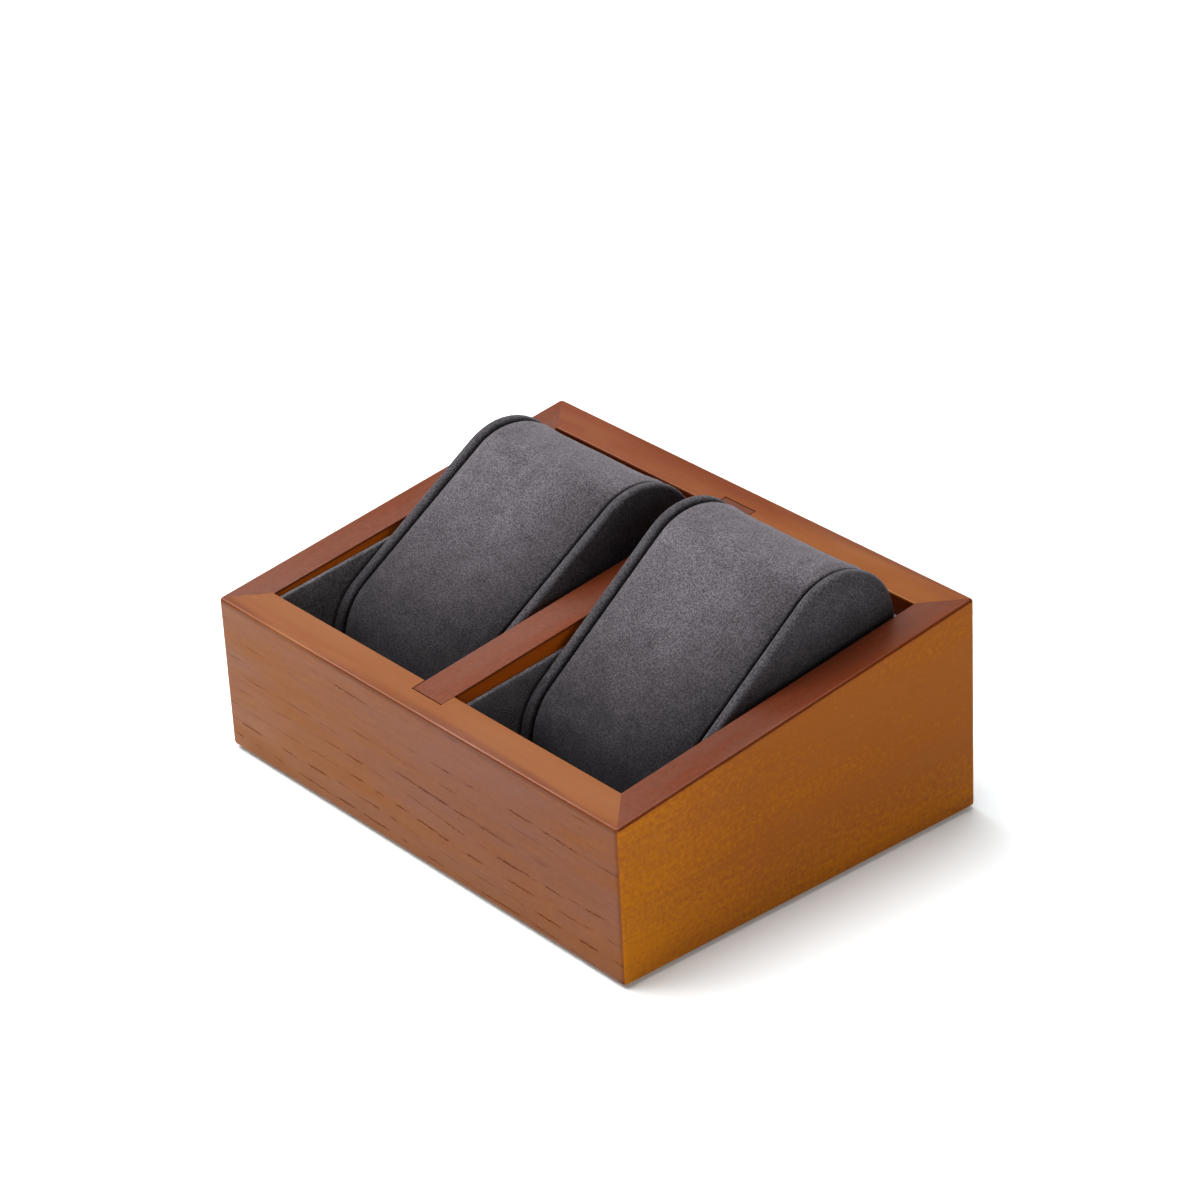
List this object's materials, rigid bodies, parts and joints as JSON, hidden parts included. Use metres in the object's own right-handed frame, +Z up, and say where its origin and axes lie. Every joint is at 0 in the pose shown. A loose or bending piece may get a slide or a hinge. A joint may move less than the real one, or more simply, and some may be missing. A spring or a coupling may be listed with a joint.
{
  "type": "watch box",
  "caption": "Open sloping wooden watch box with suede-lined bays and suede pillows that lift out.",
  "frame": {"origin": "middle of the underside, on the surface the box stands on", "axes": "+X along the length to the right seen from the front, -Y to the low front wall, +Z up"},
  "size_m": [0.15, 0.1106, 0.0706],
  "materials": {
    "stained_wood": "satin reddish-brown stain, open pores",
    "plywood": "sanded",
    "black_felt": "matt felt",
    "grey_suede": "matt brushed nap",
    "foam": "open-cell foam",
    "fibreboard": "raw"
  },
  "bodies": {
    "case": {"front_wall": "stained_wood", "rear_wall": "stained_wood", "left_wall": "stained_wood", "right_wall": "stained_wood", "divider": "stained_wood", "base_panel": "plywood", "underside_felt": "black_felt", "left_bay_floor_liner": "grey_suede", "left_bay_wall_liner": "grey_suede", "left_bay_divider_liner": "grey_suede", "left_bay_front_liner": "grey_suede", "left_bay_rear_liner": "grey_suede", "right_bay_floor_liner": "grey_suede", "right_bay_wall_liner": "grey_suede", "right_bay_divider_liner": "grey_suede", "right_bay_front_liner": "grey_suede", "right_bay_rear_liner": "grey_suede"},
    "left_pillow": {"left_pillow_core": "foam", "left_pillow_band": "grey_suede", "left_pillow_left_board": "fibreboard", "left_pillow_left_cover": "grey_suede", "left_pillow_right_board": "fibreboard", "left_pillow_right_cover": "grey_suede"},
    "right_pillow": {"right_pillow_core": "foam", "right_pillow_band": "grey_suede", "right_pillow_left_board": "fibreboard", "right_pillow_left_cover": "grey_suede", "right_pillow_right_board": "fibreboard", "right_pillow_right_cover": "grey_suede"}
  },
  "joints": [
    {"name": "left_pillow_lift", "type": "slide", "parent": "case", "child": "left_pillow", "axis": [0, 0, 1], "range_m": [0, 0.07]},
    {"name": "right_pillow_lift", "type": "slide", "parent": "case", "child": "right_pillow", "axis": [0, 0, 1], "range_m": [0, 0.07]}
  ]
}
